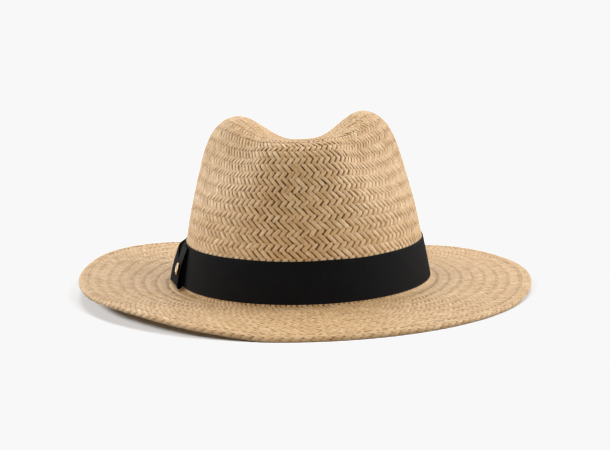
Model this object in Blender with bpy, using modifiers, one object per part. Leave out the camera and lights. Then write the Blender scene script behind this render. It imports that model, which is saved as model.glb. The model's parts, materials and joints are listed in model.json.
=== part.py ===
"""A woven straw fedora: creased crown, wired brim, ribbon band with a folded bow and stud, inner sweatband.

Every piece is first laid out on a round hatter's block, by an angle (0 at the front, growing
towards +X), a radius and a height.  blocked() then carries it onto the finished hat: it makes
the block oval, presses in the crease and the two front pinches, lowers the crown towards the
back and curls the brim.  Ribbon and tape pieces are placed by their height above the table and
their distance out from the straw wall.
"""

from math import atan2, cos, exp, hypot, pi, radians, sin

import bmesh
import bpy
from mathutils import Matrix, Vector

MM = 0.001

# Driving sizes of the block
FOOT_RADIUS = 94.6 * MM  # mean outer radius of the straw where crown meets brim
OVAL = 8.5 * MM  # half of the difference between the long and the short mean radius
BRIM_RADIUS = 164.0 * MM
CROWN_HEIGHT = 129.2 * MM  # block height above the brim, before the crease is pressed
CROWN_TAPER = 0.19  # radius lost per unit of height up the side
CROWN_BULGE = 0.6 * MM  # how far the side swells from a straight cone
STRAW = 1.1 * MM
GAP = 0.3 * MM
SIDES = 48  # steps round the head
STEP = 2 * pi / SIDES

# Brim and hem
WIRE_RADIUS = 0.4 * MM
CHANNEL_RADIUS = 0.85 * MM
BEAD_RADIUS = CHANNEL_RADIUS + STRAW
HEM_WIDTH = 11.0 * MM
BRIM_LEVEL = 7.8 * MM  # top of the brim at the crown, above the table
FILLET = 1.6 * MM
EDGE_TOP = 2 * BEAD_RADIUS  # top of the brim edge where the hem rests on the table
# Height of the hem above the table in mm at each sixteenth turn, from the front towards +X
EDGE_LIFTS = [-1.5, -2.0, -0.7, 0.4, 3.8, 4.0, 3.2, -0.8, -2.5, 2.8, 10.6, 14.0, 11.6, 9.3, 9.4, 4.1]
LEVEL_RIM = 5.0 * MM  # outermost part of the brim, which stays level for the hem

# Crown dents
CREASE_WIDTHS = {1: 31.2 * MM, -1: 33.2 * MM}  # half widths towards +X and -X
CREASE_DEPTHS = [5.2 * MM, 26.6 * MM, 24.8 * MM]  # front, middle, back
CREASE_START = 38.0 * MM
BACK_DROP = 14.5 * MM
LEAN = 2.0 * MM  # how much higher the crown stands on its +X side
SWAY = 0.9 * MM  # how far its top leans to -X
# Middle of a pinch, its reach towards the front and towards the back, and its depth
PINCHES = {
    1: (radians(47.9), radians(20.5), radians(31.5), 13.6 * MM),
    -1: (radians(46.5), radians(23.7), radians(28.9), 11.7 * MM),
}
PINCH_SLANT = radians(11)  # how far a pinch leans back towards its lower end
PINCH_START = 50.0 * MM
PINCH_FULL = 101.0 * MM

# Ribbon trim, placed by distance out from the straw and height above the table
RIBBON = 0.5 * MM
LAYER = RIBBON + GAP
BAND_BOTTOM = BRIM_LEVEL + FILLET + GAP
BAND_WIDTH = 27.5 * MM
BAND_TOP = BAND_BOTTOM + BAND_WIDTH
BAND_OUT = GAP
KNOT_OUT = BAND_OUT + LAYER
TAIL_OUT = KNOT_OUT + LAYER
LOOP_OUT = TAIL_OUT + LAYER
BOW_ANGLE = -10 * STEP
KNOT_SWEEP = radians(11)
KNOT_TOP = 2.6 * MM  # inner face of the knot's front, out from the straw
KNOT_FULL = 6.3 * MM
LOOP_SWEEP = radians(34)
LOOP_FULLNESS = 1.6 * MM
TURN_RADIUS = 0.7 * MM
TAIL_SWEEP = radians(40)
GATHER = 0.42  # share of the band's width that the ribbons take inside the knot
STUD_RADIUS = 4.4 * MM
STUD_THICK = 1.2 * MM
STUD_SHARE = 0.36  # height of the stud up the knot
POST_RADIUS = 0.9 * MM
WASHER_THICK = 0.4 * MM

# Inside trim
SWEATBAND = 1.0 * MM
SWEAT_BOTTOM = 8.6 * MM
SWEAT_WIDTH = 30.0 * MM
SWEAT_OUT = -1.03 * STRAW - GAP  # the wall leans, so it is a little thicker measured level
SWEAT_FACE = SWEAT_OUT - 1.03 * SWEATBAND
FACET = FOOT_RADIUS * (1 - cos(STEP / 2))  # how far a facet's middle lies inside the round
LABEL = 0.4 * MM
THREAD = 0.2 * MM
JOINT = 0.5 * MM
BACK = pi

FABRIC_BLACK = (0.012, 0.012, 0.013)
STRAW_TAN = (0.52, 0.34, 0.18)
THREAD_TAN = (0.45, 0.30, 0.16)
SWEAT_BEIGE = (0.50, 0.38, 0.25)
LABEL_WHITE = (0.75, 0.73, 0.68)
GOLD = (0.80, 0.58, 0.27)
STEEL = (0.45, 0.45, 0.46)


def smooth(value, low, high):
    t = min(max((value - low) / (high - low), 0.0), 1.0)
    return t * t * (3 - 2 * t)


def through(values, position):
    """A smooth curve through evenly spaced values that repeat for ever."""
    index = int(position // 1)
    t = position - index
    a, b, c, d = [values[(index + k) % len(values)] for k in (-1, 0, 1, 2)]
    return b + 0.5 * t * (c - a + t * (2 * a - 5 * b + 4 * c - d + t * (3 * (b - c) + d - a)))


def crown_radius(height):
    """Outer radius of the straw at a height above the brim."""
    share = min(max(height / CROWN_HEIGHT, 0.0), 1.0)
    side = FOOT_RADIUS - CROWN_TAPER * height + CROWN_BULGE * 4 * share * (1 - share)
    return side * (1 - share**10.7) ** (1 / 3.4)


def edge_lift(angle):
    """How far the hem hangs above the table."""
    return max(through(EDGE_LIFTS, (angle / (2 * pi) * 16) % 16) * MM, 0.0)


def brim_rise(radius, angle):
    reach = min(max((radius - FOOT_RADIUS) / (BRIM_RADIUS - LEVEL_RIM - FOOT_RADIUS), 0.0), 1.0)
    ease = 0.5 * reach**1.5 + 0.5 * smooth(reach, 0, 1)
    return (EDGE_TOP + edge_lift(angle) - BRIM_LEVEL) * ease


def crease_depth(y, height):
    """Depth of the lengthwise crease, before it fades to the sides."""
    front, middle, back = CREASE_DEPTHS
    t = min(max(y / FOOT_RADIUS, -1.0), 1.0)
    along = middle + (back - middle) * t if t > 0 else middle + (front - middle) * t * t
    return along * smooth(height, CREASE_START, CROWN_HEIGHT)


def pinch_depth(angle, radius, height):
    turn = (angle + pi) % (2 * pi) - pi
    middle, front_reach, back_reach, depth = PINCHES[1 if turn > 0 else -1]
    away = abs(turn) - middle - PINCH_SLANT * (1 - height / CROWN_HEIGHT)
    along = exp(-(abs(away / (front_reach if away < 0 else back_reach)) ** 2.7))
    return depth * along * smooth(height, PINCH_START, PINCH_FULL) * smooth(radius, 0, 60 * MM)


def blocked(angle, radius, height):
    """The finished place of a point of the round block; height is above the table."""
    oval = OVAL * smooth(radius, 0, 60 * MM)
    above = height - BRIM_LEVEL
    pinch = pinch_depth(angle, radius, above)
    top = smooth(above, 30 * MM, CROWN_HEIGHT)
    x = (radius - oval - pinch) * sin(angle) - SWAY * top
    y = -(radius + oval - pinch) * cos(angle)
    if above > 0 and radius < FOOT_RADIUS:
        crease = crease_depth(y, above) * exp(-(abs(x / CREASE_WIDTHS[1 if x > 0 else -1]) ** 2.76))
        back = 0.5 + 0.5 * y / FOOT_RADIUS
        side = x / FOOT_RADIUS
        slope = (BACK_DROP * back - LEAN * side) * top
        return Vector((x, y, height - crease - slope))
    return Vector((x, y, height + brim_rise(radius, angle)))


def by_wall(angle, out, height):
    """The finished place of a point a distance out from the straw wall."""
    return blocked(angle, crown_radius(height - BRIM_LEVEL) + out, height)


def collection(name):
    made = bpy.data.collections.new(name)
    bpy.context.scene.collection.children.link(made)
    return made


def material(name, colour, roughness, metallic=0.0):
    made = bpy.data.materials.new(name)
    made.use_nodes = True
    shader = made.node_tree.nodes["Principled BSDF"]
    shader.inputs["Base Color"].default_value = (*colour, 1.0)
    shader.inputs["Roughness"].default_value = roughness
    shader.inputs["Metallic"].default_value = metallic
    made.diffuse_color = (*colour, 1.0)
    return made


def finished(name, body, look, frame=Matrix(), group=None):
    """Makes an object of a bmesh, standing at frame, with its material and smooth shading."""
    mesh = bpy.data.meshes.new(name)
    body.to_mesh(mesh)
    body.free()
    mesh.materials.append(look)
    mesh.shade_smooth()
    mesh.set_sharp_from_angle(angle=radians(40))
    made = bpy.data.objects.new(name, mesh)
    made.matrix_world = frame
    (group or HAT).objects.link(made)
    return made


def thicken(made, thickness, offset=-1.0):
    solid = made.modifiers.new("thickness", "SOLIDIFY")
    solid.thickness = thickness
    solid.offset = offset
    solid.use_even_offset = True
    return made


def sheet(name, columns, rows, place, thickness, look, offset=1.0, closed=False, frame=Matrix()):
    """A grid of cloth whose corner (u, v), each from 0 to 1, lies at place(u, v), thickened to one side."""
    grid = bmesh.new()
    bmesh.ops.create_grid(grid, x_segments=columns, y_segments=rows, size=0.5)
    for vertex in grid.verts:
        vertex.co = place(vertex.co.x + 0.5, vertex.co.y + 0.5)
    if closed:
        bmesh.ops.remove_doubles(grid, verts=grid.verts, dist=0.01 * MM)
    return thicken(finished(name, grid, look, frame), thickness, offset)


def cord(name, points, radius, look, fineness=1):
    """A round thread or wire along a line of points."""
    line = bpy.data.curves.new(name, "CURVE")
    line.dimensions = "3D"
    line.bevel_depth = radius
    line.bevel_resolution = fineness
    line.use_fill_caps = True
    spline = line.splines.new("POLY")
    spline.points.add(len(points) - 1)
    for point, place in zip(spline.points, points):
        point.co = (*place, 1.0)
    made = bpy.data.objects.new(name, line)
    HAT.objects.link(made)
    line.materials.append(look)
    return made


def turned(name, profile, look, frame=Matrix(), steps=24, group=None):
    """A closed profile of (radius, height) turned round the Z axis of a frame."""
    body = bmesh.new()
    ring = [body.verts.new((radius, 0, height)) for radius, height in profile]
    edges = [body.edges.new((a, b)) for a, b in zip(ring, ring[1:] + ring[:1])]
    bmesh.ops.spin(
        body, geom=ring + edges, cent=(0, 0, 0), axis=(0, 0, 1), angle=2 * pi, steps=steps, use_merge=True
    )
    bmesh.ops.remove_doubles(body, verts=body.verts, dist=0.001 * MM)
    bmesh.ops.recalc_face_normals(body, faces=body.faces)
    return finished(name, body, look, frame, group)


def evenly_spaced(points, count):
    """The line of points cut into equal steps."""
    lengths = [0.0]
    for a, b in zip(points, points[1:]):
        lengths.append(lengths[-1] + hypot(b[0] - a[0], b[1] - a[1]))
    spaced = []
    index = 0
    for step in range(count + 1):
        target = lengths[-1] * step / count
        while index < len(points) - 2 and lengths[index + 1] < target:
            index += 1
        t = (target - lengths[index]) / (lengths[index + 1] - lengths[index])
        a, b = points[index], points[index + 1]
        spaced.append((a[0] + (b[0] - a[0]) * t, a[1] + (b[1] - a[1]) * t))
    return spaced


def hem_profile():
    """The folded hem, from the end of its flange to the start of the brim's top face."""
    centre = BRIM_RADIUS - BEAD_RADIUS
    top = BRIM_LEVEL
    flange = top - 2 * STRAW - GAP
    bottom = top - 2 * BEAD_RADIUS
    profile = [(BRIM_RADIUS - HEM_WIDTH, flange), (centre - 3.4 * MM, flange), (centre - 1.2 * MM, bottom)]
    for turn in range(6):
        bend = -pi / 2 + pi * turn / 5
        profile.append((centre + BEAD_RADIUS * cos(bend), top - BEAD_RADIUS * (1 - sin(bend))))
    return profile


def brim_profile(count=7):
    outer = BRIM_RADIUS - BEAD_RADIUS
    inner = FOOT_RADIUS + FILLET
    steps = [outer + (inner - outer) * step / count for step in range(1, count + 1)]
    return [(radius, BRIM_LEVEL) for radius in steps]


def crown_profile(count=16):
    """From the fillet at the foot of the crown to the middle of its top."""
    line = []
    samples = 400
    for step in range(samples + 1):
        height = FILLET + (CROWN_HEIGHT - FILLET) * (1 - (1 - step / samples) ** 3)
        line.append((crown_radius(height), BRIM_LEVEL + height))
    line[-1] = (0.0, BRIM_LEVEL + CROWN_HEIGHT)
    middle = (FOOT_RADIUS + 0.25 * FILLET, BRIM_LEVEL + 0.25 * FILLET)
    return [middle] + evenly_spaced(line, count)


def straw_body():
    """Crown, brim and folded hem, woven in one."""
    profile = hem_profile() + brim_profile() + crown_profile()
    body = bmesh.new()
    line = [body.verts.new((0, -radius, height)) for radius, height in profile]
    edges = [body.edges.new(pair) for pair in zip(line, line[1:])]
    bmesh.ops.spin(
        body, geom=line + edges, cent=(0, 0, 0), axis=(0, 0, 1), angle=2 * pi, steps=SIDES, use_merge=True
    )
    bmesh.ops.remove_doubles(body, verts=body.verts, dist=0.01 * MM)
    bmesh.ops.recalc_face_normals(body, faces=body.faces)
    if max(body.faces, key=lambda face: face.calc_center_median().z).normal.z < 0:
        bmesh.ops.reverse_faces(body, faces=body.faces)
    for vertex in body.verts:
        x, y, height = vertex.co
        vertex.co = blocked(atan2(x, -y), hypot(x, y), height)
    return thicken(finished("straw_body", body, STRAW_LOOK), STRAW)


def all_round(start, joint):
    """Angles of one turn from start, opened by a joint there."""
    angles = [start + STEP * step for step in range(SIDES + 1)]
    half = 0.5 * joint / FOOT_RADIUS
    return [start + half] + angles[1:-1] + [angles[-1] - half]


def brim_wire():
    """A ring of spring wire in the hem, with its ends butted halfway along one facet at the back."""
    radius = BRIM_RADIUS - BEAD_RADIUS
    height = BRIM_LEVEL - BEAD_RADIUS
    corners = [blocked(BACK + STEP * step, radius, height) for step in range(1, SIDES + 1)]
    first, last = corners[0], corners[-1]
    middle = (first + last) / 2
    along = (first - last).normalized()
    ends = (middle + along * JOINT / 2, middle - along * JOINT / 2)
    cord("brim_wire", [ends[0]] + corners + [ends[1]], WIRE_RADIUS, STEEL_LOOK)
    turn = along.to_track_quat("Z", "Y").to_matrix().to_4x4()
    inner, outer, half = 0.5 * MM, 0.65 * MM, 4.5 * MM
    tube = [(inner, -half), (outer, -half), (outer, half), (inner, half)]
    turned("wire_joiner", tube, STEEL_LOOK, Matrix.Translation(middle) @ turn, steps=12)


def hem_thread():
    """The line of stitching that closes the hem, on top of the brim."""
    radius = BRIM_RADIUS - 6.5 * MM
    height = BRIM_LEVEL + GAP + THREAD
    points = [blocked(angle, radius, height) for angle in all_round(BACK, JOINT)]
    cord("hem_thread", points, THREAD, THREAD_LOOK, fineness=0)


def hat_band():
    """Ribbon round the crown, its ends butted behind the knot."""
    angles = all_round(BOW_ANGLE, JOINT)

    def place(u, v):
        return by_wall(angles[round(u * SIDES)], BAND_OUT, BAND_BOTTOM + BAND_WIDTH * v)

    sheet("hat_band", SIDES, 3, place, RIBBON, RIBBON_LOOK)


def tack(name, angle, out, height, look):
    """A short bar of thread lying across a seam."""
    half = 1.5 * MM / FOOT_RADIUS
    points = [by_wall(angle + turn, out, height) for turn in (-half, 0.0, half)]
    cord(name, points, THREAD, look, fineness=0)


def band_tacks():
    out = BAND_OUT + LAYER + THREAD
    for number, eighth in enumerate((1, 3, 4, 5), 1):
        tack(f"band_tack_{number}", eighth * 2 * pi / 8, out, BAND_TOP - 2 * MM, BLACK_THREAD_LOOK)


def gathered(share, v, full):
    """Height of a bow ribbon, gathered inside the knot and spread beyond it."""
    spread = smooth(share, 0.12, 0.6)
    low = BAND_BOTTOM + 1.6 * MM
    tall = BAND_WIDTH * (GATHER + (full - GATHER) * spread)
    return low + (tall - 1.6 * MM) * v


def bow_tail():
    """The ribbon's cut end, flat under the loop, with a slanted cut."""
    start = BOW_ANGLE + 0.4 * KNOT_SWEEP

    def place(u, v):
        angle = start - u * TAIL_SWEEP * (1 - 0.16 * v)
        return by_wall(angle, TAIL_OUT, gathered(u, v, 0.86))

    sheet("bow_tail", 16, 4, place, RIBBON, RIBBON_LOOK, offset=-1.0)


def loop_path(steps_along, steps_round):
    """Angle share and distance out of the loop's inner side, from one end round to the other."""
    inner = LOOP_OUT + RIBBON
    path = [(step / steps_along, inner) for step in range(steps_along)]
    for step in range(steps_round + 1):
        bend = pi * step / steps_round
        tip = TURN_RADIUS * sin(bend) / (FOOT_RADIUS * LOOP_SWEEP)
        path.append((1 + tip, inner + TURN_RADIUS * (1 - cos(bend))))
    for step in range(steps_along - 1, -1, -1):
        share = step / steps_along
        rear = smooth(share, 0.15, 0.7)
        open_by = GAP + (2 * TURN_RADIUS - GAP) * rear + LOOP_FULLNESS * rear * (1 - share) * 2
        path.append((share, inner + open_by))
    return path


def bow_loop():
    """A flat loop of ribbon folded at its rear, both ends held in the knot."""
    start = BOW_ANGLE + 0.4 * KNOT_SWEEP
    path = loop_path(10, 4)

    def place(u, v):
        share, out = path[round(u * (len(path) - 1))]
        return by_wall(start - share * LOOP_SWEEP, out, gathered(share, v, 0.92))

    sheet("bow_loop", len(path) - 1, 4, place, RIBBON, RIBBON_LOOK)


def knot_front(share):
    """Inner face of the knot's front at a share of its height: flat at the top, full at the bottom."""
    return KNOT_TOP + (KNOT_FULL - KNOT_TOP) * (1 - share * share)


def knot_section(steps=7):
    """Inner line of the strap: up behind the ribbons, over the top and down in front of them."""
    low, high = BAND_BOTTOM + 0.8 * MM, BAND_TOP - 0.8 * MM
    back = KNOT_OUT + RIBBON
    section = [(back, low + (high - low) * step / 3) for step in range(4)]
    section.append(((back + KNOT_TOP) / 2, high + 0.3 * MM))
    for step in range(steps + 1):
        share = 1 - step / steps
        section.append((knot_front(share), low + (high - low) * share))
    section.append((KNOT_FULL - 1.0 * MM, low - 0.3 * MM))
    return section


def bow_knot():
    """The strap wrapped round the loop and the tail, with a hole for the stud."""
    section = knot_section()

    def place(u, v):
        out, height = section[round(u * len(section)) % len(section)]
        return by_wall(BOW_ANGLE + (v - 0.5) * KNOT_SWEEP, out, height)

    knot = sheet("bow_knot", len(section), 4, place, RIBBON, RIBBON_LOOK, closed=True)
    length = 6 * MM
    pin = [(0, -length / 2), (POST_RADIUS + GAP, -length / 2), (POST_RADIUS + GAP, length / 2), (0, length / 2)]
    hole = turned("stud_hole", pin, STEEL_LOOK, stud_frame(), steps=16, group=CUTTERS)
    hole.hide_render = True
    hole.display_type = "WIRE"
    cut = knot.modifiers.new("stud hole", "BOOLEAN")
    cut.operation = "DIFFERENCE"
    cut.solver = "EXACT"
    cut.object = hole


def stud_frame():
    """Z points out of the knot's outer face, where the stud sits."""
    low, high = BAND_BOTTOM + 0.8 * MM, BAND_TOP - 0.8 * MM

    def face(angle, share):
        return by_wall(BOW_ANGLE + angle, knot_front(share) + RIBBON, low + (high - low) * share)

    here = face(0, STUD_SHARE)
    across = face(0.01, STUD_SHARE) - here
    upward = face(0, STUD_SHARE + 0.01) - here
    outward = across.cross(upward).normalized()
    return Matrix.Translation(here) @ outward.to_track_quat("Z", "Y").to_matrix().to_4x4()


def stud():
    """A round metal stud on a post through the strap, held by a washer behind it."""
    frame = stud_frame()
    top = GAP + STUD_THICK
    tail = -RIBBON - 2 * GAP - WASHER_THICK
    rim = STUD_RADIUS - 0.8 * MM
    profile = [(0, top - GAP), (rim, top - GAP), (rim + 0.2 * MM, top), (STUD_RADIUS - 0.2 * MM, top)]
    profile += [(STUD_RADIUS, top - 0.2 * MM), (STUD_RADIUS, GAP), (POST_RADIUS, GAP), (POST_RADIUS, tail)]
    turned("stud", profile + [(0, tail)], GOLD_LOOK, frame)
    back = -RIBBON - GAP
    hole, edge = POST_RADIUS + GAP, 2.6 * MM
    washer = [(hole, back - WASHER_THICK), (edge, back - WASHER_THICK), (edge, back), (hole, back)]
    turned("stud_washer", washer, GOLD_LOOK, frame, steps=16)


def sweatband():
    """A strip round the inside, its ends butted at the back."""
    angles = all_round(BACK, JOINT)

    def place(u, v):
        return by_wall(angles[round(u * SIDES)], SWEAT_OUT, SWEAT_BOTTOM + SWEAT_WIDTH * v)

    sheet("sweatband", SIDES, 2, place, SWEATBAND, SWEAT_LOOK, offset=-1.0)


def sweatband_thread():
    out = SWEAT_FACE - GAP - THREAD
    points = [by_wall(angle, out, SWEAT_BOTTOM + 2.5 * MM) for angle in all_round(BACK + STEP, 9 * MM)]
    cord("sweatband_thread", points, THREAD, THREAD_LOOK, fineness=0)


def inside_patch(name, centre, width, low, high, look):
    """A flat tape or label lying on the sweatband."""
    out = SWEAT_FACE - GAP - FACET

    def place(u, v):
        return by_wall(centre + (u - 0.5) * width / FOOT_RADIUS, out, low + (high - low) * v)

    sheet(name, 4, 2, place, LABEL, look, offset=-1.0)


def seam_tape():
    low = SWEAT_BOTTOM + 4 * MM
    inside_patch("sweatband_seam_tape", BACK, 10 * MM, low, SWEAT_BOTTOM + SWEAT_WIDTH - 1 * MM, SWEAT_LOOK)


def size_label():
    centre = BACK - 3 * STEP
    width = 18 * MM
    low = SWEAT_BOTTOM + 11 * MM
    inside_patch("size_label", centre, width, low, low + 11 * MM, LABEL_LOOK)
    out = SWEAT_FACE - 2 * GAP - FACET - LABEL - THREAD
    for number, side in enumerate((-1, 1), 1):
        angle = centre + side * (width / 2 - 2.5 * MM) / FOOT_RADIUS
        tack(f"size_label_stitch_{number}", angle, out, low + 5.5 * MM, THREAD_LOOK)


def care_label():
    """A label sewn by its top edge, hanging free; its origin is on the seam that it swings about."""
    angle = BACK + 3.5 * STEP
    width, drop = 20 * MM, 21 * MM
    sag = width * width / (8 * FOOT_RADIUS)
    out = SWEAT_FACE - GAP - FACET - sag
    top = SWEAT_BOTTOM + SWEAT_WIDTH - 2 * MM
    head = by_wall(angle, out, top)
    across = (by_wall(angle + 0.01, out, top) - by_wall(angle - 0.01, out, top)).normalized()
    turn = Matrix((across, Vector((0, 0, 1)).cross(across), (0, 0, 1))).transposed().to_4x4()
    frame = Matrix.Translation(head) @ turn

    def place(u, v):
        return Vector(((u - 0.5) * width, 0, (v - 1) * drop))

    sheet("care_label", 2, 4, place, LABEL, LABEL_LOOK, offset=-1.0, frame=frame)
    half = width / 2 - 2 * MM
    ends = [frame @ Vector((side * half, 0, 2 * GAP + THREAD)) for side in (-1, 1)]
    cord("care_label_stitch", ends, THREAD, THREAD_LOOK, fineness=0)


for leftover in list(bpy.data.objects):
    bpy.data.objects.remove(leftover)

HAT = collection("straw_fedora")
CUTTERS = collection("cutters")

STRAW_LOOK = material("woven_straw", STRAW_TAN, 0.62)
RIBBON_LOOK = material("black_ribbon", FABRIC_BLACK, 0.7)
BLACK_THREAD_LOOK = material("black_thread", FABRIC_BLACK, 0.8)
THREAD_LOOK = material("tan_thread", THREAD_TAN, 0.8)
SWEAT_LOOK = material("sweatband_cotton", SWEAT_BEIGE, 0.85)
LABEL_LOOK = material("label_cloth", LABEL_WHITE, 0.8)
GOLD_LOOK = material("gold_metal", GOLD, 0.3, 1.0)
STEEL_LOOK = material("spring_steel", STEEL, 0.35, 1.0)

straw_body()
brim_wire()
hem_thread()
hat_band()
band_tacks()
bow_tail()
bow_loop()
bow_knot()
stud()
sweatband()
sweatband_thread()
seam_tape()
size_label()
care_label()
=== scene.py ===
"""Looks of a woven straw fedora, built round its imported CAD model.

The straw is woven strand by strand.  Every piece is laid out on the same round hatter's block as
the CAD model, by an angle (0 at the front, growing towards +X), a radius and a height, and
blocked() carries it onto the finished hat.
"""

import json
from math import cos, pi, radians, sin

import bpy
import numpy as np
from mathutils import Matrix, Vector

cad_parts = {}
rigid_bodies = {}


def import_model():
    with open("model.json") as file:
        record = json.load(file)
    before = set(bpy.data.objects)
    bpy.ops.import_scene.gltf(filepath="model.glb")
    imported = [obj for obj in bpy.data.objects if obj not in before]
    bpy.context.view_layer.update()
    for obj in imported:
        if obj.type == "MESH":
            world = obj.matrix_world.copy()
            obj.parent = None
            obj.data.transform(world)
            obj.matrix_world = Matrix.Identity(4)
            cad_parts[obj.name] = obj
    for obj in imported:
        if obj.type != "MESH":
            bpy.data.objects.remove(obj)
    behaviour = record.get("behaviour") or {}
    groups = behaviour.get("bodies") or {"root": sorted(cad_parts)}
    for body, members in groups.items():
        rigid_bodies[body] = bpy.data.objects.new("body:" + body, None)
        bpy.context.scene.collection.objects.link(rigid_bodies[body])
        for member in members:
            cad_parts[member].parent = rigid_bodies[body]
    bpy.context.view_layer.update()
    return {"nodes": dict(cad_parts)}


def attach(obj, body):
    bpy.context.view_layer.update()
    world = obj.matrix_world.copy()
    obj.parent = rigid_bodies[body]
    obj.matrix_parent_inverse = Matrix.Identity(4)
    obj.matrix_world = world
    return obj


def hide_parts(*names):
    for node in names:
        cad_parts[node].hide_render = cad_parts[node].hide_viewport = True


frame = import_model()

MM = 0.001
NODES = frame["nodes"]
HAT_BODY = "hat"
LABEL_BODY = "label"

# The block, as in the CAD model
FOOT_RADIUS = 94.6 * MM
OVAL = 8.5 * MM
OVAL_REACH = 60.0 * MM  # nearer the tip than this, the oval and the pinches fade out
EVENING = 0.05  # turns the straws a little, which keeps them evenly spaced on the oval
BRIM_RADIUS = 164.0 * MM
CROWN_HEIGHT = 129.2 * MM
CROWN_TAPER = 0.19
CROWN_BULGE = 0.6 * MM
STRAW = 1.1 * MM
GAP = 0.3 * MM
BEAD_RADIUS = 1.95 * MM
HEM_WIDTH = 11.0 * MM
BRIM_LEVEL = 7.8 * MM
FILLET = 1.6 * MM
EDGE_TOP = 2 * BEAD_RADIUS
# How far the brim's edge stands above its lowest line, sixteen places round from the front, in mm
EDGE_LIFTS = [-1.5, -2.0, -0.7, 0.4, 3.8, 4.0, 3.2, -0.8, -2.5, 2.8, 10.6, 14.0, 11.6, 9.3, 9.4, 4.1]
LEVEL_RIM = 5.0 * MM
CREASE_WIDTHS = (31.2 * MM, 33.2 * MM)  # towards +X and -X
CREASE_DEPTHS = [5.2 * MM, 26.6 * MM, 24.8 * MM]  # front, middle and back
CREASE_START = 38.0 * MM
BACK_DROP = 14.5 * MM
SLOPE_START = 30.0 * MM
LEAN = 2.0 * MM
SWAY = 0.9 * MM
# Each pinch: its middle round from the front, its reach to the front and to the back, its depth
LEFT_PINCH = (radians(47.9), radians(20.5), radians(31.5), 13.6 * MM)
RIGHT_PINCH = (radians(46.5), radians(23.7), radians(28.9), 11.7 * MM)
PINCH_SLANT = radians(11)
PINCH_START = 50.0 * MM
PINCH_FULL = 101.0 * MM
STRAIGHT_WALL = 112.0 * MM  # rows of straw keep their spacing this far up from the foot
STEP = 2 * pi / 48

# Ribbon trim
RIBBON = 0.5 * MM
LAYER = RIBBON + GAP
BAND_BOTTOM = BRIM_LEVEL + FILLET + GAP
BAND_WIDTH = 27.5 * MM
BAND_TOP = BAND_BOTTOM + BAND_WIDTH
BAND_OUT = GAP
KNOT_OUT = BAND_OUT + LAYER
TAIL_OUT = KNOT_OUT + LAYER
LOOP_OUT = TAIL_OUT + LAYER
BOW_ANGLE = -10 * STEP
KNOT_SWEEP = radians(11)
KNOT_TOP = 2.2 * MM
KNOT_FULL = 4.8 * MM
LOOP_SWEEP = radians(34)
LOOP_FULLNESS = 2.5 * MM
TURN_RADIUS = 0.7 * MM
TAIL_SWEEP = radians(40)
GATHER = 0.42
STUD_RADIUS = 3.7 * MM
STUD_THICK = 0.8 * MM
STUD_SHARE = 0.44
POST_RADIUS = 0.9 * MM

# Inside trim
SWEATBAND = 1.0 * MM
SWEAT_BOTTOM = 8.6 * MM
SWEAT_WIDTH = 30.0 * MM
SWEAT_OUT = -1.03 * STRAW - GAP
SWEAT_FACE = SWEAT_OUT - 1.03 * SWEATBAND
FACET = FOOT_RADIUS * (1 - cos(STEP / 2))
LABEL = 0.4 * MM
THREAD = 0.2 * MM
THREAD_SIDES = 6
JOINT = 0.5 * MM
BACK = pi

# Weave
STRAND = 0.54 * MM  # thickness of one straw
WAVE = 0.45 * MM  # how far a straw rises and dips from the middle of the weave
MIDDLE = -0.52 * MM  # middle of the weave, out from the block's outer face
COVER = 0.81  # share of the room between neighbours that a straw fills, at the front and back
SIDE_COVER = 0.99  # and at the sides, where the weave is drawn together
TWILL = 4  # rows in one repeat: over two, under two
TIP_RADIUS = 6.0 * MM  # where the straws start, round the button at the tip of the crown
TIP_STRAWS = 28
DOUBLINGS = (24.0 * MM, 48.0 * MM)  # radii where the number of straws doubles
ROW_STEP = 2.35 * MM
ROW_SHAPE = 1.12  # height of a row over the half distance between neighbouring straws
LONG_FLOATS = 0.13  # how much longer the straws turning towards +X lie on top than the others
CROWN_END = 20.0 * MM  # the crown's straws end and the brim's start under the band
BRIM_STRAWS = 172
BRIM_ROW = 2.0 * MM
BRIM_COVER = 0.97
BRIM_WAVE = 0.65 * WAVE
FAMILIES = ((1, "a"), (-1, "b"))  # the way each turns going down, and its letter in names

# How far straws differ from each other (spread) and along themselves (drift)
WIDTH_SPREAD = 0.05  # share of the width
WIDTH_DRIFT = 0.07
ASIDE_DRIFT = 0.075  # share of the room between neighbours
RISE_SPREAD = 0.02 * MM
RISE_DRIFT = 0.04 * MM
ROLL_DRIFT = 0.06 * MM
TINT_SPREAD = 0.27
WIDTH_LIMITS = (0.6, 1.02)  # share of the room between neighbours

rng = np.random.default_rng(11)


# ---------------------------------------------------------------- the block


def smooth(value, low, high):
    t = np.clip((value - low) / (high - low), 0.0, 1.0)
    return t * t * (3 - 2 * t)


def through(values, position):
    """A smooth curve through evenly spaced values that repeat for ever."""
    index = np.floor(position).astype(int)
    t = position - index
    a, b, c, d = [values[(index + k) % len(values)] for k in (-1, 0, 1, 2)]
    return b + 0.5 * t * (c - a + t * (2 * a - 5 * b + 4 * c - d + t * (3 * (b - c) + d - a)))


def length_along(a, b):
    """Distance along a flat line of points, given by their two coordinates."""
    return np.append(0, np.cumsum(np.hypot(np.diff(a), np.diff(b))))


def crown_radius(height):
    """Outer radius of the straw at a height above the brim."""
    share = np.clip(height / CROWN_HEIGHT, 0.0, 1.0)
    side = FOOT_RADIUS - CROWN_TAPER * height + CROWN_BULGE * 4 * share * (1 - share)
    return side * (1 - share**10.7) ** (1 / 3.4)


def brim_rise(radius, angle):
    reach = np.clip((radius - FOOT_RADIUS) / (BRIM_RADIUS - LEVEL_RIM - FOOT_RADIUS), 0.0, 1.0)
    ease = 0.5 * reach**1.5 + 0.5 * smooth(reach, 0, 1)
    places = len(EDGE_LIFTS)
    lift = np.maximum(through(np.array(EDGE_LIFTS) * MM, (angle / (2 * pi) * places) % places), 0.0)
    return (EDGE_TOP + lift - BRIM_LEVEL) * ease


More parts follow.
